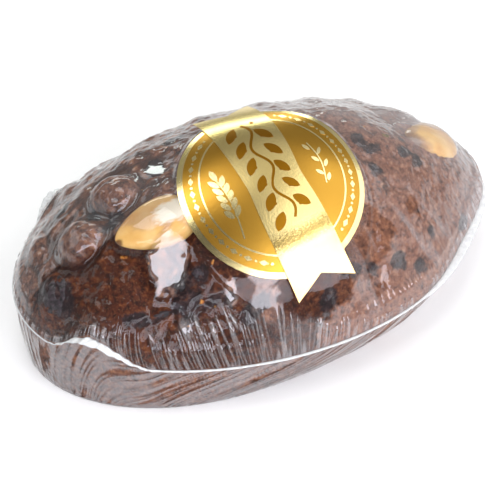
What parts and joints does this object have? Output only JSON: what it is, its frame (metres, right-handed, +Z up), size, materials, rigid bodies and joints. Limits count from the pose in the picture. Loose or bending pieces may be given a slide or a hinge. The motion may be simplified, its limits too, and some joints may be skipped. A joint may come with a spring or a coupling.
{
  "type": "fruit bread",
  "caption": "Oval domed loaf of dark fruit bread sealed in clear shrink film, topped with blanched almonds and closed by a gold foil seal with a swallow-tailed band.",
  "frame": {"origin": "middle of the footprint box, on the surface that the loaf rests on", "axes": "+X along the loaf to its right end, -Y towards the front seam, +Z up"},
  "size_m": [0.1502, 0.0924, 0.0618],
  "materials": {
    "bread_in_film": "dark dense fruit bread with lumps of dried fruit, under clear glossy shrink film that looks milky where it stands off the crust",
    "almond": "blanched almond, cream to honey, smooth and slightly waxy",
    "gold_foil": "gold foil paper, pale gold rim and band, printed darker gold field"
  },
  "bodies": {
    "root": {"film_wrapped_bread": "bread_in_film", "almond_left": "almond", "almond_right": "almond", "gold_seal": "gold_foil"}
  },
  "joints": []
}
